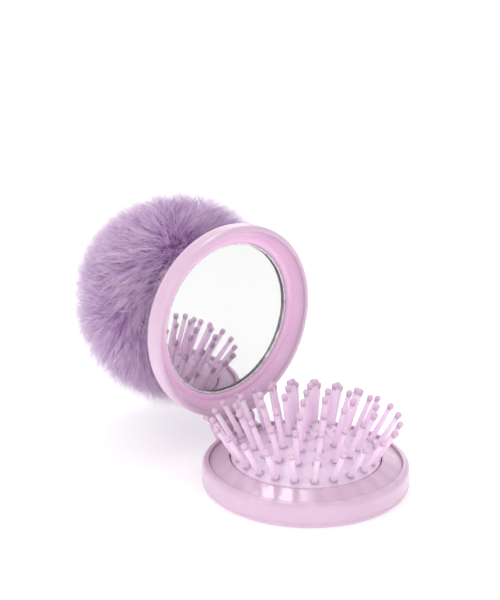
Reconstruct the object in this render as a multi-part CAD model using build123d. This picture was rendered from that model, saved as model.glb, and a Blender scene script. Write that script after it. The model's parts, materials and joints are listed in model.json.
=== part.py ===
from build123d import *
import os
from math import asin, cos, radians, sin, sqrt

# Folding pocket hairbrush: a round base with a pinned rubber cushion, a round lid with a
# mirror inside, hinged at the back, and a fur ball fixed to the lid's outer face.
# Origin: centre of the base's underside. +Z up, the hinge is at the +Y side, its axis along X.
# The lid is stored open, leaning on its hinge stop.

# ---- driving dimensions, mm ----
BODY_R = 34.0  # lid and rim radius: a 68 mm compact
FOOT_R = 34.05  # bottom cover, a hair wider than the wall
COVER_T = 1.5  # bottom cover plate
RIM_TOP = 7.9  # top of the base rim
RIM_INNER_R = 31.8
DECK_TOP = 5.6  # ledge that carries cushion flange and bezel
DECK_T = 1.4
DECK_HOLE_R = 23.6
WALL_INNER_R = 32.3  # base wall below the deck

DOME_APEX = 16.4  # top of the rubber cushion
DOME_R = 43.0  # its sphere radius
CUSHION_R = 24.6  # its cylindrical skirt
MEMBRANE_T = 1.2
FLANGE_R = 28.6
FLANGE_T = 1.0

RINGS = 4  # pin rings round the middle pin
RING_PITCH = 5.7
PINS_PER_STEP = 6  # ring n holds 6 n pins
FIRST_PIN_AZIMUTH = 97.5  # degrees from +X
PIN_LENGTH = 14.3  # cushion surface to ball centre
PIN_ROOT_R = 1.0
PIN_END_R = 0.82
BALL_R = 1.08
HEAD_R = 1.45
HEAD_T = 0.7
BOSS_R = 1.55
BOSS_H = 0.7

HINGE_Y = 36.9
HINGE_Z = 9.31
BARREL_R = 2.3
HINGE_PIN_R = 0.8
EAR_OUTER = 8.5  # the base's two ears, from the middle of the hinge
EAR_INNER = 5.65
LOBE_OUTER = 5.4  # the lid's two knuckles between them
LOBE_INNER = 1.9
BLIND_END = 0.9  # ear wall that closes the pin's bore at -X
PAD_HALF = 12.0  # half the width of the flat pad that the knuckles grow from
PAD_GAP = 0.25  # between the pad and the ears' barrels
LID_OPEN = 86.8  # degrees from closed to the stop

SEAM_Z = 8.06  # plane of the lid's lip when closed
LID_BACK = 9.6  # lip plane to the middle of the lid's back
MIRROR_R = 26.9
MIRROR_DEPTH = 5.63  # lip plane to the glass
GLASS_T = 1.25
SILVER_T = 0.08
MIRROR_GLUE_T = 0.25

POM_DEPTH = 33.6  # lip plane to the centre of the fur ball
FUR_R = 37.6
FUR_T = 0.85
BACKING_R = 16.2
BACKING_T = 1.2
NECK_R = 5.4
MOUNT_R = 8.6

FIT = 0.02  # gap round a piece that sits in another


def turned(*corners):
    """Solid of revolution about Z from corners given as (radius, height, rounding)."""
    points = [(radius, height) for radius, height, _ in corners]
    roundings = [rounding for _, _, rounding in corners]
    outline = make_face(FilletPolyline(*points, radius=roundings, close=True))
    return revolve(Plane.XZ * outline, Axis.Z)


def disc(radius, low, high):
    """Upright cylinder from height low to height high."""
    return Pos(0, 0, low) * Cylinder(radius, high - low, align=(Align.CENTER, Align.CENTER, Align.MIN))


def block(x_low, x_high, y_low, y_high, z_low, z_high):
    """Box between two opposite corners."""
    size = (x_high - x_low, y_high - y_low, z_high - z_low)
    return Pos(x_low, y_low, z_low) * Box(*size, align=(Align.MIN, Align.MIN, Align.MIN))


def hinge_rod(radius, x_low, x_high):
    """Cylinder on the hinge axis between two x positions."""
    middle = Pos((x_low + x_high) / 2, HINGE_Y, HINGE_Z)
    return middle * Rot(0, 90, 0) * Cylinder(radius, x_high - x_low)


def both_sides(inner, outer):
    """The x ranges, low to high, of a pair of like pieces either side of the middle."""
    return (-outer, -inner), (inner, outer)


def opened(shape):
    """A lid piece, modelled closed, turned back about the hinge to its open stop."""
    axis = Pos(0, HINGE_Y, HINGE_Z)
    return axis * Rot(-LID_OPEN, 0, 0) * Pos(0, -HINGE_Y, -HINGE_Z) * shape


def write(node, *solids):
    """One STEP file for a node of one or more separate solids."""
    shape = solids[0] if len(solids) == 1 else Compound(children=list(solids))
    shape.label = node
    export_step(shape, f"parts/{node}.step")


# ---- base: shell, cover, bezel, cushion ----
def base_shell():
    shell = turned(
        (BODY_R, COVER_T, 0),
        (BODY_R, RIM_TOP, 1.85),
        (RIM_INNER_R, RIM_TOP, 0.3),
        (RIM_INNER_R, DECK_TOP, 0),
        (DECK_HOLE_R, DECK_TOP, 0),
        (DECK_HOLE_R, DECK_TOP - DECK_T, 0),
        (WALL_INNER_R, DECK_TOP - DECK_T, 0),
        (WALL_INNER_R, COVER_T, 0),
    )
    for low, high in both_sides(EAR_INNER, EAR_OUTER):
        shell += hinge_ear(low, high)
    return shell - hinge_rod(HINGE_PIN_R + FIT / 2, BLIND_END - EAR_OUTER, EAR_OUTER)


def hinge_ear(low, high):
    """Barrel of one ear, on a web that runs down the back wall."""
    web = Polyline(
        (low, WALL_INNER_R + 0.2, COVER_T + 0.8),
        (low, BODY_R + 0.3, COVER_T + 0.8),
        (low, HINGE_Y + 0.9, HINGE_Z - BARREL_R + 0.25),
        (low, HINGE_Y, HINGE_Z),
        (low, HINGE_Y - BARREL_R, HINGE_Z),
        (low, HINGE_Y - BARREL_R, RIM_TOP),
        (low, WALL_INNER_R + 0.2, RIM_TOP - 0.4),
        close=True,
    )
    return hinge_rod(BARREL_R, low, high) + extrude(make_face(web), high - low, dir=(1, 0, 0))


def base_bottom_cover():
    return turned(
        (0, 0, 0),
        (FOOT_R, 0, 1.1),
        (FOOT_R, COVER_T, 0.06),
        (WALL_INNER_R - FIT, COVER_T, 0),
        (WALL_INNER_R - FIT, DECK_TOP - DECK_T - 0.1, 0.3),
        (WALL_INNER_R - 1.4, DECK_TOP - DECK_T - 0.1, 0.3),
        (WALL_INNER_R - 1.4, COVER_T, 0),
        (0, COVER_T, 0),
    )


def cushion_bezel():
    top = DECK_TOP + 3.5
    lip_r = CUSHION_R + 0.35
    outer_r = RIM_INNER_R - 0.05
    return turned(
        (outer_r, DECK_TOP, 0),
        (outer_r, DECK_TOP + 1.2, 0.15),
        (26.1, top, 0.6),
        (lip_r, top, 0.5),
        (lip_r, DECK_TOP + FLANGE_T + FIT, 0),
        (FLANGE_R + 0.2, DECK_TOP + FLANGE_T + FIT, 0),
        (FLANGE_R + 0.2, DECK_TOP, 0),
    )


def dome_height(radius):
    """Height of the cushion's outer surface at a radius."""
    return DOME_APEX - DOME_R + sqrt(DOME_R**2 - radius**2)


def pin_planes(ring):
    """Planes on the cushion's surface, normal to it, one for each pin of a ring."""
    radius = ring * RING_PITCH
    tilt = asin(radius / DOME_R)
    count = max(1, ring * PINS_PER_STEP)
    for i in range(count):
        azimuth = radians(FIRST_PIN_AZIMUTH + 360 * i / count)
        out = (sin(tilt) * cos(azimuth), sin(tilt) * sin(azimuth), cos(tilt))
        root = (radius * cos(azimuth), radius * sin(azimuth), dome_height(radius))
        yield Plane(origin=root, z_dir=out)


def cushion():
    ball = Pos(0, 0, DOME_APEX - DOME_R) * Sphere(DOME_R)
    inside = Pos(0, 0, DOME_APEX - DOME_R) * Sphere(DOME_R - MEMBRANE_T)
    dome = disc(CUSHION_R, DECK_TOP, DOME_APEX + 1) & ball
    shoulder = dome.edges().filter_by(Plane.XY).sort_by(Axis.Z)[-1]
    dome = fillet(shoulder, 0.9)
    body = dome + disc(FLANGE_R, DECK_TOP, DECK_TOP + FLANGE_T)
    body -= disc(CUSHION_R - MEMBRANE_T, DECK_TOP - 1, DOME_APEX) & inside
    planes = [plane for ring in range(RINGS + 1) for plane in pin_planes(ring)]
    boss = disc(BOSS_R, -MEMBRANE_T / 2, BOSS_H)
    boss = fillet(boss.edges().group_by(Axis.Z)[-1], 0.35)
    hole = disc(PIN_ROOT_R + FIT, -2 * MEMBRANE_T, 2 * BOSS_H)
    body += [plane * boss for plane in planes]
    body -= [plane * hole for plane in planes]
    return body


# ---- pins: shank with a head under the cushion, and a ball on its end ----
def pin():
    length = PIN_LENGTH + BALL_R / 3
    seat = MEMBRANE_T + 2 * FIT
    shank = Pos(0, 0, -seat) * Cone(
        PIN_ROOT_R, PIN_END_R, seat + length, align=(Align.CENTER, Align.CENTER, Align.MIN)
    )
    return shank + disc(HEAD_R, -seat - HEAD_T, -seat)


def ball():
    return Pos(0, 0, PIN_LENGTH) * Sphere(BALL_R) - pin()


def ring_name(ring):
    return ("centre", "inner", "third", "second", "outer")[ring]


# ---- hinge ----
def hinge_pin():
    return hinge_rod(HINGE_PIN_R, BLIND_END - EAR_OUTER, EAR_OUTER - 0.1)


def lid_knuckles():
    """The lid's two knuckles, closed position, each with a web up the lid's wall."""
    inside = MIRROR_R + 4.7
    solids = []
    for low, high in both_sides(LOBE_INNER, LOBE_OUTER):
        web = Polyline(
            (low, inside, SEAM_Z + 0.6),
            (low, HINGE_Y, SEAM_Z + 0.6),
            (low, HINGE_Y + 1.2, HINGE_Z + 1.7),
            (low, HINGE_Y - 2.2, SEAM_Z + 5.0),
            (low, inside, SEAM_Z + 5.0),
            close=True,
        )
        solids.append(hinge_rod(BARREL_R, low, high) + extrude(make_face(web), high - low, dir=(1, 0, 0)))
    return solids


def hinge_pad():
    """Flat-faced pad across the lid's round wall, closed position, clear of the ears."""
    face = HINGE_Y - BARREL_R - PAD_GAP
    pad = block(-PAD_HALF, PAD_HALF, 28, face, SEAM_Z + 0.3, SEAM_Z + 3.4)
    pad = fillet(pad.edges().filter_by(Axis.Z).group_by(Axis.Y)[-1], 1.3)
    return pad - disc(BODY_R - 1.2, SEAM_Z, SEAM_Z + 4)


def stop_heels():
    """Squared corner of each knuckle that meets the base wall when the lid is open."""
    return [
        block(low, high, BODY_R, HINGE_Y, HINGE_Z - 2.9, HINGE_Z)
        for low, high in both_sides(LOBE_INNER, LOBE_OUTER)
    ]


# ---- lid ----
def lid_shell():
    recess_r = MIRROR_R + 0.25
    recess = MIRROR_DEPTH + GLASS_T + SILVER_T + MIRROR_GLUE_T
    bowl = turned(
        (0, LID_BACK, 0),
        (9.5, LID_BACK, 6),
        (BODY_R, LID_BACK - 0.85, 4.4),
        (BODY_R, 0, 1.25),
        (31.9, 0, 0.7),
        (31.9, 1.1, 0.9),
        (29.2, 4.6, 0.4),
        (28.8, 4.25, 0.25),
        (27.7, 4.25, 0.5),
        (recess_r, 5.0, 0),
        (recess_r, recess, 0),
        (0, recess, 0),
    )
    closed = Pos(0, 0, SEAM_Z) * bowl + hinge_pad()
    for knuckle in lid_knuckles():
        closed += knuckle
    shell = opened(closed)
    for heel in stop_heels():
        shell += heel
    return shell - hinge_rod(HINGE_PIN_R + 0.06, -LOBE_OUTER, LOBE_OUTER)


def lid_layer(radius, depth, thickness):
    """Round layer inside the lid, from a depth below the lip plane outward."""
    return opened(disc(radius, SEAM_Z + depth, SEAM_Z + depth + thickness))


def mirror_glass():
    low = SEAM_Z + MIRROR_DEPTH
    plate = disc(MIRROR_R, low, low + GLASS_T)
    return opened(chamfer(plate.edges().group_by(Axis.Z)[0], 0.3))


# ---- fur ball ----
LID_TOP = SEAM_Z + LID_BACK
GLUE_T = 0.2
MOUNT_LOW = LID_TOP + GLUE_T
MOUNT_FLOOR = MOUNT_LOW + 1.2
MOUNT_RIM = MOUNT_FLOOR + 1.9
POM_Z = SEAM_Z + POM_DEPTH


def pom_mount_cup():
    cup = disc(MOUNT_R, MOUNT_LOW, MOUNT_RIM) - disc(MOUNT_R - 1.2, MOUNT_FLOOR, MOUNT_RIM)
    return opened(cup)


def stuffing_form():
    ball = Pos(0, 0, POM_Z) * Sphere(BACKING_R - BACKING_T)
    return ball + disc(NECK_R - BACKING_T, MOUNT_FLOOR + BACKING_T, POM_Z)


def pom_backing():
    bag = Pos(0, 0, POM_Z) * Sphere(BACKING_R)
    bag += disc(NECK_R, MOUNT_FLOOR, POM_Z)
    bag += disc(MOUNT_R - 1.4, MOUNT_FLOOR, MOUNT_FLOOR + BACKING_T)
    return opened(bag - stuffing_form())


def pom_drawstring():
    cord_r = 0.5
    ring = Torus(NECK_R + cord_r + FIT, cord_r)
    return opened(Pos(0, 0, MOUNT_RIM + 1.2) * ring)


def pom_fur():
    """Envelope of the pile: a thin closed ball, flat where it lies on the lid's back."""
    low = LID_TOP + 0.3
    outer = Pos(0, 0, POM_Z) * Sphere(FUR_R) & disc(FUR_R, low, POM_Z + FUR_R)
    inner = Pos(0, 0, POM_Z) * Sphere(FUR_R - FUR_T) & disc(FUR_R, low + FUR_T, POM_Z + FUR_R)
    return opened(outer - inner - disc(MOUNT_R + FIT, LID_TOP, MOUNT_RIM))


os.makedirs("parts", exist_ok=True)
write("base_shell", base_shell())
write("base_bottom_cover", base_bottom_cover())
write("cushion_bezel", cushion_bezel())
write("cushion", cushion())
for ring in range(RINGS + 1):
    write(f"pins_{ring_name(ring)}", *[plane * pin() for plane in pin_planes(ring)])
    write(f"pin_balls_{ring_name(ring)}", *[plane * ball() for plane in pin_planes(ring)])
write("hinge_pin", hinge_pin())
write("lid_shell", lid_shell())
write("mirror_glass", mirror_glass())
write("mirror_silvering", lid_layer(MIRROR_R, MIRROR_DEPTH + GLASS_T, SILVER_T))
write("mirror_adhesive", lid_layer(MIRROR_R - 2, MIRROR_DEPTH + GLASS_T + SILVER_T, MIRROR_GLUE_T))
write("pom_adhesive", lid_layer(MOUNT_R - 0.6, LID_BACK, GLUE_T))
write("pom_mount_cup", pom_mount_cup())
write("pom_backing", pom_backing())
write("pom_stuffing", opened(stuffing_form()))
write("pom_drawstring", pom_drawstring())
write("pom_fur", pom_fur())
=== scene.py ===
import json
import math

import bpy
import numpy as np
from mathutils import Matrix, Vector


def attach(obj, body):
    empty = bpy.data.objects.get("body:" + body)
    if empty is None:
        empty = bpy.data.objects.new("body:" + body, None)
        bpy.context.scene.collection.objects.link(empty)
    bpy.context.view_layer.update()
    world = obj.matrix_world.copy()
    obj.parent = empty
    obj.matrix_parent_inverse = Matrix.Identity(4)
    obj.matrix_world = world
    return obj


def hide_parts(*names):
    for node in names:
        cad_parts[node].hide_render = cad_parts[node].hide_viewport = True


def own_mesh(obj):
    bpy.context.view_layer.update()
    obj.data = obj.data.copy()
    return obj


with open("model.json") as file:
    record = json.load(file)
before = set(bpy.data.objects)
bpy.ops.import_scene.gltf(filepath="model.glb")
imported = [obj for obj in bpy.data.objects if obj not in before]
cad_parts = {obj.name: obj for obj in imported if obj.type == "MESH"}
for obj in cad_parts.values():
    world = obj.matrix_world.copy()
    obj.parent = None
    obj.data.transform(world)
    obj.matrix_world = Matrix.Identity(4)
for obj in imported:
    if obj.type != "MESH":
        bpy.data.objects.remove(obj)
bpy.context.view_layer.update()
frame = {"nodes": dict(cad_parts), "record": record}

NODES = frame["nodes"]
MM = 0.001

# ---------------------------------------------------------------- sizes, metres
HINGE = frame["record"]["behaviour"]["joints"][0]
HINGE_AT = Vector(HINGE["pos_m"])
LID_OPEN = math.radians(HINGE["range_deg"][1])

SEAM_Z = 8.06 * MM  # lip plane of the closed lid
LID_BACK = 9.6 * MM  # lip plane to the lid's back
MIRROR_R = 26.9 * MM
MIRROR_DEPTH = 5.63 * MM
RECESS_DEPTH = 4.0 * MM  # of the point that the lid's painted bounce light, a lighter warmer pink, is centred on
RECESS_FADE = (30.6 * MM, 32.4 * MM)  # distances from it over which that pink ends
GLASS_T = 1.25 * MM
GLASS_CHAMFER = 0.12 * MM
SILVER_T = 0.08 * MM
SILVER_CHAMFER = 0.01 * MM
COAT_GAP = 0.02 * MM
EDGE_FOIL_T = 0.06 * MM
MIRROR_FACE = SEAM_Z + MIRROR_DEPTH
SILVER_FACE = MIRROR_FACE + GLASS_T + COAT_GAP
POM_CENTRE = Vector((0, 0, SEAM_Z + 33.6 * MM))

DOME_APEX = 16.4 * MM
DOME_R = 43.0 * MM
CUSHION_R = 24.6 * MM
MEMBRANE = 1.2 * MM
FLANGE_R = 28.6 * MM
DECK_TOP = 5.6 * MM
FLANGE_TOP = DECK_TOP + 1.0 * MM
SHOULDER_R = 0.9 * MM  # rounding between the dome and its skirt
AXIS_GAP = 0.02 * MM  # radius of the small disc that closes a lathed shape on its axis
BOSS_R = 1.55 * MM
BOSS_H = 0.7 * MM

RINGS = ("centre", "inner", "third", "second", "outer")
RING_PITCH = 5.7 * MM
FIRST_PIN_AZIMUTH = math.radians(97.5)
PIN_LENGTH = 14.3 * MM
BALL_R = 1.08 * MM
STEM_R = 0.86 * MM  # where a ball meets its pin
STEM_Z = -1.15 * MM

# Moves what is modelled on the closed lid to the open lid at rest.
OPENED = Matrix.Translation(HINGE_AT) @ Matrix.Rotation(-LID_OPEN, 4, "X") @ Matrix.Translation(-HINGE_AT)


# ---------------------------------------------------------------- mesh helpers
def smooth_step(x):
    x = np.clip(x, 0, 1)
    return x * x * (3 - 2 * x)


def unit_rows(v):
    return v / np.maximum(np.linalg.norm(v, axis=1), 1e-9)[:, None]


def circle_angles(around):
    return np.arange(around) * 2 * math.pi / around


def new_piece(name, points, faces, smooth=True):
    """A mesh object from lists of points and faces."""
    mesh = bpy.data.meshes.new(name)
    mesh.from_pydata([tuple(p) for p in points], [], faces)
    mesh.validate()
    mesh.polygons.foreach_set("use_smooth", [smooth] * len(mesh.polygons))
    piece = bpy.data.objects.new(name, mesh)
    bpy.context.scene.collection.objects.link(piece)
    return piece


def fast_piece(name, points, triangles):
    """A smooth mesh from numpy arrays of points and triangles."""
    mesh = bpy.data.meshes.new(name)
    mesh.vertices.add(len(points))
    mesh.vertices.foreach_set("co", points.astype(np.float32).ravel())
    mesh.loops.add(triangles.size)
    mesh.loops.foreach_set("vertex_index", triangles.astype(np.int32).ravel())
    mesh.polygons.add(len(triangles))
    mesh.polygons.foreach_set("loop_start", np.arange(0, triangles.size, 3, dtype=np.int32))
    mesh.polygons.foreach_set("use_smooth", np.ones(len(triangles), bool))
    mesh.update(calc_edges=True)
    piece = bpy.data.objects.new(name, mesh)
    bpy.context.scene.collection.objects.link(piece)
    return piece


def store(piece, name, values):
    """Keeps one number per point for the materials to read."""
    attribute = piece.data.attributes.new(name, "FLOAT", "POINT")
    attribute.data.foreach_set("value", values.astype(np.float32))


def ring_faces(rings, around, closed_ends=(False, False)):
    """Quads between successive rings of points, and fans to the end rings if asked."""
    faces = []
    for k in range(rings - 1):
        for i in range(around):
            j = (i + 1) % around
            faces.append((k * around + i, k * around + j, (k + 1) * around + j, (k + 1) * around + i))
    if closed_ends[0]:
        faces.append(tuple(reversed(range(around))))
    if closed_ends[1]:
        faces.append(tuple(range((rings - 1) * around, rings * around)))
    return faces


def lathe_rings(profile, around):
    """Points of a profile of (radius, height) turned about Z."""
    return [(r * math.cos(a), r * math.sin(a), z) for r, z in profile for a in circle_angles(around)]


# ---------------------------------------------------------------- materials
class Look:
    """A node material on one Principled shader."""

    def __init__(self, name, **constants):
        self.material = bpy.data.materials.new(name)
        self.material.use_nodes = True
        self.tree = self.material.node_tree
        self.shader = self.tree.nodes["Principled BSDF"]
        for socket, value in constants.items():
            self.shader.inputs[socket.replace("_", " ")].default_value = value

    def node(self, kind, **settings):
        made = self.tree.nodes.new("ShaderNode" + kind)
        for key, value in settings.items():
            setattr(made, key, value)
        return made

    def attribute(self, name):
        return self.node("Attribute", attribute_name=name).outputs["Fac"]

    def link(self, source, target):
        self.tree.links.new(source, target)

    def noise(self, scale, detail=3, rough=0.5, stretch=None):
        """Noise in the object's own coordinates; scale is in features per metre."""
        place = self.node("TexCoord").outputs["Object"]
        if stretch:
            mapping = self.node("Mapping")
            mapping.inputs["Scale"].default_value = stretch
            self.link(place, mapping.inputs["Vector"])
            place = mapping.outputs["Vector"]
        noise = self.node("TexNoise")
        noise.inputs["Scale"].default_value = scale
        noise.inputs["Detail"].default_value = detail
        noise.inputs["Roughness"].default_value = rough
        self.link(place, noise.inputs["Vector"])
        return noise.outputs["Fac"]

    def ramp(self, value, *stops):
        ramp = self.node("ValToRGB")
        while len(ramp.color_ramp.elements) < len(stops):
            ramp.color_ramp.elements.new(0.5)
        for element, (at, color) in zip(ramp.color_ramp.elements, stops):
            element.position = at
            element.color = (*color, 1)
        self.link(value, ramp.inputs["Fac"])
        return ramp.outputs["Color"]

    def mix(self, factor, first, second):
        """First colour where factor is 0, second where it is 1."""
        mix = self.node("Mix", data_type="RGBA")
        for value, name in ((factor, "Factor"), (first, "A"), (second, "B")):
            self.link(value, mix.inputs[name])
        return mix.outputs["Result"]

    def color(self, value):
        self.link(value, self.shader.inputs["Base Color"])

    def clouded(self, value, low, high):
        """Base colour between two close ones that follows a noise value."""
        self.color(self.ramp(value, (0.3, low), (0.7, high)))

    def rough(self, value, low, high):
        """Roughness from a noise value stretched from 0..1 to low..high."""
        span = self.node("MapRange")
        span.inputs["To Min"].default_value = low
        span.inputs["To Max"].default_value = high
        self.link(value, span.inputs["Value"])
        self.link(span.outputs["Result"], self.shader.inputs["Roughness"])

    def bump(self, value, height, strength):
        bump = self.node("Bump")
        bump.inputs["Strength"].default_value = strength
        bump.inputs["Distance"].default_value = height
        self.link(value, bump.inputs["Height"])
        self.link(bump.outputs["Normal"], self.shader.inputs["Normal"])


def srgb(r, g, b):
    """Linear colour from 0..255 display values."""
    out = []
    for value in (r, g, b):
        v = value / 255
        out.append(v / 12.92 if v <= 0.04045 else ((v + 0.055) / 1.055) ** 2.4)
    return tuple(out)


def pink_plastic(name, bounce_centre=None):
    """Gloss plastic. If a centre point is given, the plastic close to it is a lighter and warmer pink:
    painted bounce light in the lid's recess.
    """
    look = Look(
        name, Roughness=0.24, Coat_Weight=0.4, Coat_Roughness=0.1, IOR=1.49,
        Subsurface_Weight=0.15, Subsurface_Radius=(1.0, 0.7, 0.9), Subsurface_Scale=2.0 * MM,
    )
    cloud = look.noise(70, 4, 0.6)
    color = look.ramp(cloud, (0.3, srgb(215, 182, 208)), (0.7, srgb(219, 189, 212)))
    if bounce_centre:
        away = look.node("VectorMath", operation="DISTANCE")
        away.inputs[1].default_value = bounce_centre
        look.link(look.node("TexCoord").outputs["Object"], away.inputs[0])
        edge = look.node("MapRange")
        edge.inputs["From Min"].default_value = RECESS_FADE[1]
        edge.inputs["From Max"].default_value = RECESS_FADE[0]
        look.link(away.outputs["Value"], edge.inputs["Value"])
        # painted bounce light: a lighter, warmer pink inside the lid's recess
        painted_bounce = look.ramp(cloud, (0.3, srgb(240, 195, 229)), (0.7, srgb(242, 200, 231)))
        color = look.mix(edge.outputs["Result"], color, painted_bounce)
    look.color(color)
    look.rough(look.noise(420, 5, 0.65), 0.18, 0.32)
    look.bump(look.noise(260, 2, 0.4), 0.06 * MM, 0.25)
    return look.material


def cushion_rubber():
    """Pale rubber, with a painted purple shade round the pins' roots."""
    look = Look(
        "cushion_rubber", Roughness=0.38, Coat_Weight=0.15, Coat_Roughness=0.2, IOR=1.5,
        Subsurface_Weight=0.4, Subsurface_Radius=(1.0, 0.6, 0.95), Subsurface_Scale=1.5 * MM,
    )
    field = look.ramp(look.noise(90, 4, 0.6), (0.3, srgb(235, 212, 233)), (0.7, srgb(242, 222, 239)))
    # painted shade: the deeper purple round each pin's root stands for the bosses' shaded fronts
    purple = look.node("RGB").outputs["Color"]
    purple.default_value = (*srgb(208, 168, 214), 1)
    look.color(look.mix(look.attribute("painted_pin_shade"), field, purple))
    look.rough(look.noise(500, 4, 0.6), 0.3, 0.46)
    look.bump(look.noise(900, 3, 0.5), 0.03 * MM, 0.3)
    return look.material


def pin_nylon():
    """Nylon that lets light through, with drawing marks along the pin."""
    look = Look(
        "pin_nylon", Roughness=0.3, IOR=1.53,
        Subsurface_Weight=1.0, Subsurface_Radius=(1.0, 0.8, 0.97), Subsurface_Scale=4.0 * MM,
    )
    look.clouded(look.noise(160, 3, 0.5), srgb(233, 203, 229), srgb(239, 213, 235))
    look.rough(look.noise(700, 3, 0.5, (1, 1, 0.2)), 0.24, 0.4)
    return look.material


def ball_resin():
    look = Look(
        "ball_resin", Roughness=0.25, IOR=1.5, Coat_Weight=0.3, Coat_Roughness=0.08,
        Subsurface_Weight=0.3, Subsurface_Radius=(1.0, 0.8, 0.9), Subsurface_Scale=0.8 * MM,
    )
    look.clouded(look.noise(330, 3, 0.5), srgb(213, 181, 207), srgb(226, 196, 220))
    look.rough(look.noise(900, 3, 0.5), 0.2, 0.36)
    return look.material


def mirror_glass():
    look = Look("mirror_glass", Roughness=0.0, IOR=1.5, Transmission_Weight=1.0)
    look.color(look.ramp(look.noise(15, 2), (0, (0.992, 0.994, 0.993)), (1, (1, 1, 1))))
    return look.material


def silvering():
    look = Look("silvering", Roughness=0.01, Metallic=1.0)
    look.color(look.ramp(look.noise(30, 2), (0, (0.745, 0.745, 0.75)), (1, (0.757, 0.757, 0.762))))
    return look.material


def edge_foil():
    """Crinkled silvering along the mirror's edge."""
    look = Look("edge_foil", Roughness=0.3, Metallic=0.4)
    # patches from grey to near white: painted glints and dark facets of the crinkled foil, on top of the bump
    look.color(look.ramp(look.noise(1500, 4, 0.7), (0.3, srgb(176, 170, 180)), (0.55, srgb(246, 244, 247))))
    look.rough(look.noise(2200, 3, 0.6), 0.12, 0.5)
    look.bump(look.noise(1300, 4, 0.7), 0.25 * MM, 0.8)
    return look.material


def steel():
    """Drawn wire, with marks along X."""
    look = Look("steel", Metallic=1.0, Roughness=0.3)
    look.clouded(look.noise(600, 3), (0.5, 0.5, 0.52), (0.62, 0.62, 0.64))
    look.rough(look.noise(900, 3, 0.6, (0.1, 1, 1)), 0.2, 0.42)
    return look.material


def plain(name, low, high, scale, rough, bump_height):
    """Matte material: two close colours, uneven roughness and a fine bump."""
    look = Look(name, Roughness=rough)
    look.clouded(look.noise(scale, 4, 0.6), low, high)
    look.rough(look.noise(scale * 3, 3), rough - 0.08, rough + 0.08)
    look.bump(look.noise(scale * 5, 3, 0.6), bump_height, 0.5)
    return look.material


def fur_fibre():
    """Fibre colour: deep purple at the root and pale lilac at the tip, which is painted shade deep in the
    pile and a painted backlit glow at the tips, and its own random tone per fibre.
    """
    look = Look("fur_fibre", Roughness=0.5, IOR=1.45, Sheen_Weight=0.15, Sheen_Roughness=0.4)
    along = look.attribute("along")
    # painted light: the root colours are painted shade deep in the pile, the near-white tips a painted
    # backlit glow
    root, middle, tip = srgb(96, 38, 112), srgb(156, 97, 170), srgb(216, 168, 226)
    dark = look.ramp(along, (0.0, root), (0.45, middle), (1.0, tip))
    root, middle, tip = srgb(164, 104, 180), srgb(238, 198, 246), srgb(255, 246, 255)
    light = look.ramp(along, (0.0, root), (0.45, middle), (1.0, tip))
    look.color(look.mix(look.attribute("shade"), dark, light))
    look.rough(look.noise(500, 2), 0.42, 0.62)
    return look.material


def dress(node, material):
    """Gives a CAD node its material."""
    mesh = NODES[node].data
    mesh.materials.clear()
    mesh.materials.append(material)


# ---------------------------------------------------------------- cushion and pins
def pin_places():
    """{ring name: [(root point, unit direction)]} on the dome, as the CAD has them."""
    places = {}
    for ring, name in enumerate(RINGS):
        radius = ring * RING_PITCH
        tilt = math.asin(radius / DOME_R)
        count = max(1, 6 * ring)
        places[name] = []
        for i in range(count):
            azimuth = FIRST_PIN_AZIMUTH + 2 * math.pi * i / count
            flat = math.sin(tilt)
            out = Vector((flat * math.cos(azimuth), flat * math.sin(azimuth), math.cos(tilt)))
            centre = Vector((0, 0, DOME_APEX - DOME_R))
            places[name].append((centre + DOME_R * out, out))
    return places


def cap_height(r, sphere_r=DOME_R):
    """Height at radius r of a sphere that shares the dome's centre."""
    return DOME_APEX - DOME_R + math.sqrt(sphere_r**2 - r * r)


def cushion_profile():
    """Outline of the membrane: the dome's points, then those of the shoulder, skirt, flange and inside."""
    dome = [(r, cap_height(r)) for r in np.linspace(AXIS_GAP, CUSHION_R - SHOULDER_R, 116)]
    rest = []
    for k in range(1, 7):
        bend = math.radians(90 * k / 6)
        drop = SHOULDER_R * (1 - math.cos(bend))
        rest.append((CUSHION_R - SHOULDER_R + SHOULDER_R * math.sin(bend), dome[-1][1] - drop))
    rest += [
        (CUSHION_R, FLANGE_TOP + 0.35 * MM),
        (CUSHION_R + 0.12 * MM, FLANGE_TOP + 0.1 * MM),
        (CUSHION_R + 0.35 * MM, FLANGE_TOP),
        (FLANGE_R - 0.2 * MM, FLANGE_TOP),
        (FLANGE_R, FLANGE_TOP - 0.2 * MM),
        (FLANGE_R, DECK_TOP + 0.2 * MM),
        (FLANGE_R - 0.2 * MM, DECK_TOP),
        (CUSHION_R - MEMBRANE, DECK_TOP),
    ]
    rest += [(r, cap_height(r, DOME_R - MEMBRANE)) for r in np.linspace(CUSHION_R - MEMBRANE, AXIS_GAP, 24)]
    return dome, rest


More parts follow.
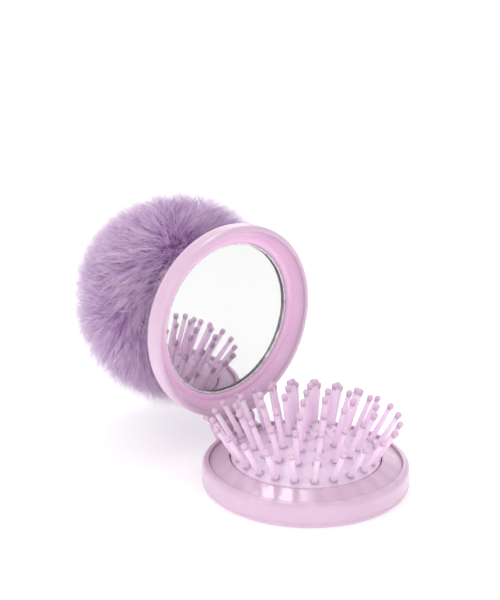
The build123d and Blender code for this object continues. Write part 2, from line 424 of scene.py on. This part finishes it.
def make_cushion(places, material):
    """The rubber membrane as one closed shell, with a raised boss round each pin and painted shade round its
    root.
    """
    around = 480
    roots = np.array([root for spots in places.values() for root, _ in spots])
    centre = np.array([0, 0, DOME_APEX - DOME_R])
    dome, rest = cushion_profile()
    rings, painted_shade_rings = [], []
    for k, (r, z) in enumerate(dome + rest):
        angles = circle_angles(around)
        points = np.column_stack([np.cos(angles) * r, np.sin(angles) * r, np.full(around, z)])
        painted_shade = np.zeros(around)
        if k < len(dome):
            away = np.linalg.norm(points[:, None] - roots[None], axis=2).min(1)
            lift = BOSS_H * smooth_step((BOSS_R + 0.3 * MM - away) / (0.55 * MM))
            points = points + unit_rows(points - centre) * lift[:, None]
            # painted shade: how far the purple round the pin's root reaches
            painted_shade = smooth_step((BOSS_R + 0.25 * MM - away) / (0.6 * MM))
        rings.append(points)
        painted_shade_rings.append(painted_shade)
    piece = new_piece("cushion_membrane", np.concatenate(rings), ring_faces(len(rings), around, (True, True)))
    piece.data.flip_normals()
    store(piece, "painted_pin_shade", np.concatenate(painted_shade_rings))
    piece.data.materials.append(material)
    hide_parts("cushion")
    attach(piece, "base")
    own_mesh(piece)


# Radius and height, in mm, of a pin about its axis from the root: head, boss sleeve, taper, tip.
PIN_PROFILE = [
    (1.05, -1.93), (1.35, -1.93), (1.45, -1.83), (1.45, -1.36), (1.35, -1.25),
    (1.0, -1.25), (1.0, 0.42), (1.06, 0.62), (1.02, 0.74), (0.985, 0.98),
    (0.955, 3.0), (0.92, 7.0), (0.85, 12.0), (0.83, 13.2), (0.83, 14.5),
]


def make_on_pins(name, node, material, spots, profiles, around):
    """One mesh of lathed shapes, each given by a profile along its pin's axis from the root."""
    points, faces = [], []
    for (root, out), profile in zip(spots, profiles):
        turn = out.to_track_quat("Z", "Y").to_matrix()
        start = len(points)
        points += [root + turn @ Vector(p) for p in lathe_rings(profile, around)]
        closed = ring_faces(len(profile), around, (True, True))
        faces += [tuple(start + i for i in face) for face in closed]
    piece = new_piece(name, points, faces)
    piece.data.materials.append(material)
    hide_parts(node)
    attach(piece, "base")
    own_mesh(piece)


def make_pins(places, material):
    profile = [(r * MM, z * MM) for r, z in PIN_PROFILE]
    for ring, spots in places.items():
        shared = [profile] * len(spots)
        make_on_pins(f"bristles_{ring}", f"pins_{ring}", material, spots, shared, around=20)


def ball_profile(rng, steps=13):
    """Slightly uneven ball on the pin's end, with a neck where it meets the pin."""
    size = BALL_R * rng.uniform(0.95, 1.05)
    long = rng.uniform(0.97, 1.08)
    profile = [(STEM_R, STEM_Z + PIN_LENGTH)]
    for k in range(1, steps):
        bend = math.pi * (0.28 + 0.715 * k / (steps - 1))
        profile.append((size * math.sin(bend), -size * long * math.cos(bend) + PIN_LENGTH))
    return profile


def make_balls(places, material, rng):
    for ring, spots in places.items():
        uneven = [ball_profile(rng) for _ in spots]
        make_on_pins(f"beads_{ring}", f"pin_balls_{ring}", material, spots, uneven, around=22)


# ---------------------------------------------------------------- mirror
def make_disc(name, node, radius, low, high, chamfer, material):
    """Flat round plate with chamfered edges and flat-shaded faces, standing for a node of the open lid."""
    around = 256
    lower = [(radius - chamfer, low), (radius, low + chamfer)]
    upper = [(radius, high - chamfer), (radius - chamfer, high)]
    profile = lower + upper
    faces = ring_faces(len(profile), around, (True, True))
    piece = new_piece(name, lathe_rings(profile, around), faces, smooth=False)
    piece.data.transform(OPENED)
    piece.data.materials.append(material)
    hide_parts(node)
    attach(piece, "lid")


# Rows of the mirror's ragged edge: inset from the mirror's rim and height over its face, in mm, then how much
# of the waviness goes into the inset and into the height.
EDGE_ROWS = (
    (0.55, -0.12, 0.9, 0.3),
    (0.15, -0.12, 0, 1),
    (-0.14, -0.12, 0, 1),
    (-0.22, 0.24, 0, 0.3),
    (-0.2, 1.0, 0, 0.3),
)
EDGE_WAVES = ((7, 0.05), (19, 0.06), (43, 0.07), (88, 0.07), (171, 0.05))  # count round the edge, size


def make_mirror_edge(material, rng):
    """Ragged silvered edge between the glass and the bead round it."""
    around = 720
    angles = circle_angles(around)
    wave = np.zeros(around)
    for n, size in EDGE_WAVES:
        wave += size * np.sin(n * angles + rng.uniform(0, 6.28))
    rows = []
    for inset, depth, ragged, swell in EDGE_ROWS:
        radius = MIRROR_R - inset * MM * (1 + ragged * wave)
        height = MIRROR_FACE + depth * MM + 0.1 * MM * swell * wave
        rows.append(np.column_stack([radius * np.cos(angles), radius * np.sin(angles), height]))
    piece = new_piece("mirror_silver_edge", np.concatenate(rows), ring_faces(len(rows), around))
    thick = piece.modifiers.new("thickness", "SOLIDIFY")
    thick.thickness = EDGE_FOIL_T
    thick.offset = 0
    piece.data.transform(OPENED)
    piece.data.materials.append(material)
    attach(piece, "lid")


# ---------------------------------------------------------------- fur ball
FUR_PIECES = 8
TUFTS = 9500
FIBRES_PER_TUFT = 7
STRAY_HAIRS = 20000
UNDERCOAT_R = 30.0 * MM
ROOT_R = 27.5 * MM
TIP_R = 39.0 * MM
LID_CLEAR = 0.35 * MM
PILE_FLOOR = SEAM_Z + LID_BACK + LID_CLEAR - POM_CENTRE.z  # lowest the pile reaches, from the ball's middle
PRESSED_R = 30.5 * MM  # how far out the pile squeezed by the lid is pushed
TUFT_RECESS = 7.8 * MM  # deepest tuft tip under TIP_R
FIBRE_RECESS = 3.0 * MM  # deepest fibre tip under its tuft's
TUFT_SPREAD = 0.6 * MM  # of the fibres' roots
TUFT_GATHER = 0.65  # share of that spread that the tips lose
FIBRE_RADIUS = (0.045 * MM, 0.08 * MM)
STRAY_REACH = (-2.0 * MM, 2.2 * MM)  # of a loose hair's tip from TIP_R
STRAY_RADIUS = (0.03 * MM, 0.05 * MM)
STATIONS = np.array([0.0, 0.45, 0.78, 1.0])  # places along a fibre
TAPER = np.array([1.0, 0.9, 0.6])  # its thickness at all but the last, which is a point

# Whorls that the pile grows away from: direction from the ball's middle with the lid closed, reach in
# radians, strength, and the side it feeds (zero: all round).
WHORLS = (
    ((-0.39, -0.79, -0.46), 1.0, 1.0, (0, 0, 0)),
    ((-0.93, -0.12, -0.33), 1.1, 1.5, (0.35, 0.93, 0.0)),
    ((0.75, -0.45, 0.48), 0.9, 1.0, (0, 0, 0)),
    ((0.1, 0.35, 0.93), 1.0, 1.0, (0, 0, 0)),
    ((0.72, 0.66, -0.2), 0.8, 0.9, (0, 0, 0)),
    ((-0.5, 0.55, 0.66), 0.7, 0.7, (0, 0, 0)),
)

# Slow waves that bend the pile off its whorls: wave vector, push and phase.
DRIFTS = (
    ((3.1, -2.2, 4.0), (0.16, 0.10, -0.12), 0.4),
    ((-4.6, 3.3, 1.9), (-0.08, 0.17, 0.10), 1.9),
    ((6.3, 4.4, -3.7), (0.13, -0.12, 0.14), 3.3),
    ((-5.2, 7.5, 6.1), (0.12, 0.09, 0.13), 5.0),
    ((9.7, -6.8, 7.9), (-0.10, 0.11, 0.09), 2.6),
)


def even_directions(count, rng):
    """Evenly spread directions with a little jitter."""
    k = np.arange(count) + 0.5
    z = 1 - 2 * k / count
    turn = k * math.pi * (3 - math.sqrt(5))
    flat = np.sqrt(1 - z * z)
    even = np.column_stack([flat * np.cos(turn), flat * np.sin(turn), z])
    return unit_rows(even + rng.normal(0, 1.1 / math.sqrt(count), even.shape))


def fur_flow(directions):
    """Tangent along which the pile lies, up to 1 long."""
    flow = np.zeros_like(directions)
    for crown, reach, strength, side in WHORLS:
        crown = unit_rows(np.array([crown]))[0]
        cosine = directions @ crown
        away = directions * cosine[:, None] - crown
        away = away - directions * np.sum(away * directions, 1)[:, None]
        weight = strength * np.exp(-((np.arccos(np.clip(cosine, -1, 1)) / reach) ** 2))
        weight = weight * smooth_step(np.linalg.norm(away, axis=1) / 0.16)
        if any(side):
            weight = weight * smooth_step(0.5 + (directions - crown) @ np.array(side) / 0.3)
        flow += unit_rows(away) * weight[:, None]
    for axis, push, phase in DRIFTS:
        wave = np.sin(directions @ np.array(axis) + phase)[:, None] * np.array(push)
        flow += wave - directions * np.sum(wave * directions, 1)[:, None]
    size = np.linalg.norm(flow, axis=1)
    return unit_rows(flow) * np.minimum(size * 1.6, 1.0)[:, None]


def fibre_paths(directions, lean, spread, tip_r):
    """Fibres that start straight out at ROOT_R and bend over along lean towards their tips."""
    paths = np.zeros((len(directions), len(STATIONS), 3))
    for k, s in enumerate(STATIONS):
        radius = ROOT_R + (tip_r - ROOT_R) * s**0.8
        heading = unit_rows(directions + lean * s**1.7 + spread * s**1.2)
        paths[:, k] = heading * radius[:, None]
    return paths


def press_on_lid(paths, rng):
    """The pile against the lid's back is pressed flat and pushed outward."""
    spare = rng.uniform(0, 1.8 * MM, len(paths))
    for k, s in enumerate(STATIONS):
        over = np.maximum(PILE_FLOOR + spare * (0.3 + 0.7 * s) - paths[:, k, 2], 0)
        paths[:, k, 2] += over
        flat = np.linalg.norm(paths[:, k, :2], axis=1)
        grown = np.minimum(flat + 0.35 * over, np.maximum(PRESSED_R, flat))
        paths[:, k, :2] *= (grown / np.maximum(flat, 1e-6))[:, None]


def fibre_mesh(paths, radii):
    """Points and triangles of three-sided tapering fibres, and points per fibre.

    paths is (fibres, stations, 3), and the last station is the tip.
    """
    count, stations, _ = paths.shape
    along = unit_rows(paths[:, -1] - paths[:, 0])
    side = unit_rows(np.cross(along, np.array([0.31, 0.87, 0.38])))
    up = np.cross(along, side)
    corners = []
    for k in range(stations - 1):
        for c in range(3):
            turn = 2 * math.pi * c / 3
            offset = math.cos(turn) * side + math.sin(turn) * up
            corners.append(paths[:, k] + offset * radii[:, k, None])
    corners.append(paths[:, -1])
    points = np.stack(corners, 1)
    per = points.shape[1]
    faces = [(0, 2, 1)]
    for k in range(stations - 2):
        for c in range(3):
            a, b = 3 * k + c, 3 * k + (c + 1) % 3
            faces += [(a, b, b + 3), (a, b + 3, a + 3)]
    last = 3 * (stations - 2)
    faces += [(last + c, last + (c + 1) % 3, per - 1) for c in range(3)]
    triangles = (np.array(faces)[None] + np.arange(count)[:, None, None] * per).reshape(-1, 3)
    return points.reshape(-1, 3), triangles, per


def tufted_fibres(rng):
    """Paths, radii and shades of the fibres that stand in tufts."""
    tufts = even_directions(TUFTS, rng)
    tuft_lean = 0.24 * fur_flow(tufts) + rng.normal(0, 0.12, tufts.shape)
    tuft_tip = TIP_R - rng.beta(1.7, 1.3, TUFTS) * TUFT_RECESS
    tuft_shade = rng.normal(0.55, 0.36, TUFTS)
    each = np.repeat(np.arange(TUFTS), FIBRES_PER_TUFT)
    count = len(each)
    scatter = rng.normal(0, TUFT_SPREAD / ROOT_R, (count, 3))
    roots = unit_rows(tufts[each] + scatter)
    gather = -TUFT_GATHER * scatter + rng.normal(0, 0.012, (count, 3))
    tips = tuft_tip[each] - rng.beta(1, 3, count) * FIBRE_RECESS
    paths = fibre_paths(roots, tuft_lean[each], gather, tips)
    radii = rng.uniform(*FIBRE_RADIUS, count)
    return paths, radii, tuft_shade[each] + rng.normal(0, 0.12, count)


def stray_hairs(rng):
    """Paths of the fine pale hairs that stand out of the pile."""
    roots = even_directions(STRAY_HAIRS, rng)[rng.permutation(STRAY_HAIRS)]
    lean = 0.22 * fur_flow(roots) + rng.normal(0, 0.13, roots.shape)
    return fibre_paths(roots, lean, np.zeros_like(roots), TIP_R + rng.uniform(*STRAY_REACH, STRAY_HAIRS))


def make_fur(material, rng):
    """The pile, dealt out at random to pieces of equal size."""
    paths, thick, shade = tufted_fibres(rng)
    paths = np.concatenate([paths, stray_hairs(rng)])
    thick = np.concatenate([thick, rng.uniform(*STRAY_RADIUS, STRAY_HAIRS)])
    # the stray hairs get pale shades: a painted backlit glow at the ball's fuzzy edge
    shade = np.clip(np.concatenate([shade, rng.normal(0.9, 0.1, STRAY_HAIRS)]), 0, 1)

    press_on_lid(paths, rng)
    paths += np.array(POM_CENTRE)
    radii = thick[:, None] * TAPER[None]
    order = rng.permutation(len(paths))
    for n, part in enumerate(np.array_split(order, FUR_PIECES)):
        points, triangles, per = fibre_mesh(paths[part], radii[part])
        piece = fast_piece(f"fur_pile_{n + 1}", points, triangles)
        along = np.concatenate([np.repeat(STATIONS[:-1], 3), [1.0]])
        store(piece, "along", np.tile(along, len(part)))
        store(piece, "shade", np.repeat(shade[part], per))
        piece.data.transform(OPENED)
        piece.data.materials.append(material)
        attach(piece, "lid")
        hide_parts("pom_fur")


def make_undercoat(material, rng):
    """Dense inner pile that the fibres grow out of, flat against the lid's back."""
    rows, around = 97, 192
    profile = [(math.sin(p), math.cos(p)) for p in np.linspace(0.01, math.pi - 0.01, rows)]
    directions = np.array(lathe_rings(profile, around))
    ripple = np.zeros(len(directions))
    for _ in range(40):
        axis = unit_rows(rng.normal(0, 1, (1, 3)))[0]
        ripple += np.sin(directions @ axis * rng.uniform(10, 30) + rng.uniform(0, 6.28))
    points = directions * (UNDERCOAT_R * (1 + 0.006 * ripple))[:, None]
    points[:, 2] = np.maximum(points[:, 2], PILE_FLOOR)
    points += np.array(POM_CENTRE)
    piece = new_piece("fur_undercoat", points, ring_faces(rows, around, (True, True)))
    piece.data.transform(OPENED)
    piece.data.materials.append(material)
    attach(piece, "lid")
    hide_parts("pom_fur")


# ---------------------------------------------------------------- stage
FLOOR_HALF = 600.0  # metres, so that its edge stays out of sight
WORLD_STRENGTH = 0.78
CAMERA_AT = (-0.22346, -0.22683, 0.15313)
CAMERA_AIM = Vector((0.63417, 0.72214, -0.27635))
CAMERA_LENS = 63.075
SENSOR_WIDTH = 36

# Softboxes: name, place, the point it faces, width and height, watts.
SOFTBOXES = (
    ("top_softbox", (0.10, 0.30, 0.75), (0, 0.02, 0.03), (0.25, 0.25), 1.5),
    ("front_softbox", (-0.35, -0.7, 0.35), (0, 0.03, 0.03), (0.6, 0.5), 1.0),
    ("left_softbox", (-0.70, 0.10, 0.45), (0, 0.02, 0.03), (0.2, 0.5), 0.8),
    ("back_card", (0.5, 1.2, 0.5), (0, 0.02, 0.03), (2.6, 0.6), 3.6),
)


def place(name, data, at, aim):
    """Puts a lamp or camera in the scene, looking along aim."""
    holder = bpy.data.objects.new(name, data)
    bpy.context.scene.collection.objects.link(holder)
    holder.location = at
    holder.rotation_euler = aim.to_track_quat("-Z", "Y").to_euler()
    return holder


def make_floor():
    corners = [(x * FLOOR_HALF, y * FLOOR_HALF, 0) for x, y in ((-1, -1), (1, -1), (1, 1), (-1, 1))]
    floor = new_piece("floor", corners, [(0, 1, 2, 3)])
    look = Look("floor_paint", Roughness=0.6, Emission_Color=(1, 1, 1, 1), Emission_Strength=0.28)
    look.color(look.ramp(look.noise(3, 2), (0, (0.93, 0.93, 0.93)), (1, (0.94, 0.94, 0.94))))
    floor.data.materials.append(look.material)


def make_world():
    world = bpy.data.worlds.new("studio")
    bpy.context.scene.world = world
    world.use_nodes = True
    sky = world.node_tree.nodes["Background"].inputs
    sky["Color"].default_value = (1.0, 1.0, 1.0, 1)
    sky["Strength"].default_value = WORLD_STRENGTH


def make_softbox(name, at, facing, size, watts):
    lamp = bpy.data.lights.new(name, "AREA")
    lamp.shape = "RECTANGLE"
    lamp.size, lamp.size_y = size
    lamp.energy = watts
    place(name, lamp, at, Vector(facing) - Vector(at))


def make_camera():
    camera = bpy.data.cameras.new("camera")
    camera.lens = CAMERA_LENS
    camera.sensor_width = SENSOR_WIDTH
    bpy.context.scene.camera = place("camera", camera, CAMERA_AT, CAMERA_AIM)


# ---------------------------------------------------------------- build
bpy.context.scene.view_settings.view_transform = "Standard"
make_camera()
make_floor()
make_world()
for softbox in SOFTBOXES:
    make_softbox(*softbox)

pink = pink_plastic("pink_plastic")
for node in ("base_shell", "base_bottom_cover", "cushion_bezel"):
    dress(node, pink)
dress("lid_shell", pink_plastic("pink_plastic_lid_painted_bounce", OPENED @ Vector((0, 0, SEAM_Z + RECESS_DEPTH))))
dress("hinge_pin", steel())
tape = plain("adhesive", srgb(225, 222, 214), srgb(236, 234, 228), 300, 0.6, 0.03 * MM)
for node in ("mirror_adhesive", "pom_adhesive"):
    dress(node, tape)
dress("pom_mount_cup", plain("cup_plastic", srgb(176, 148, 188), srgb(190, 162, 200), 200, 0.5, 0.03 * MM))
dress("pom_backing", plain("backing_knit", srgb(132, 100, 150), srgb(152, 120, 170), 900, 0.8, 0.2 * MM))
dress("pom_stuffing", plain("stuffing", srgb(228, 228, 230), srgb(240, 240, 242), 500, 0.85, 0.3 * MM))
dress("pom_drawstring", plain("thread", srgb(120, 90, 140), srgb(144, 112, 162), 1500, 0.7, 0.1 * MM))

rng = np.random.default_rng(7)
places = pin_places()
make_cushion(places, cushion_rubber())
make_pins(places, pin_nylon())
make_balls(places, ball_resin(), rng)
make_disc(
    "mirror_plate", "mirror_glass", MIRROR_R, MIRROR_FACE, MIRROR_FACE + GLASS_T, GLASS_CHAMFER,
    mirror_glass(),
)
make_disc(
    "mirror_coat", "mirror_silvering", MIRROR_R, SILVER_FACE, SILVER_FACE + SILVER_T, SILVER_CHAMFER,
    silvering(),
)
make_mirror_edge(edge_foil(), rng)
# the undercoat's dark purple, like the fibres' roots, is painted shade in the gaps of the pile
make_undercoat(plain("undercoat", srgb(124, 80, 140), srgb(152, 110, 166), 250, 0.8, 0.4 * MM), rng)
make_fur(fur_fibre(), rng)
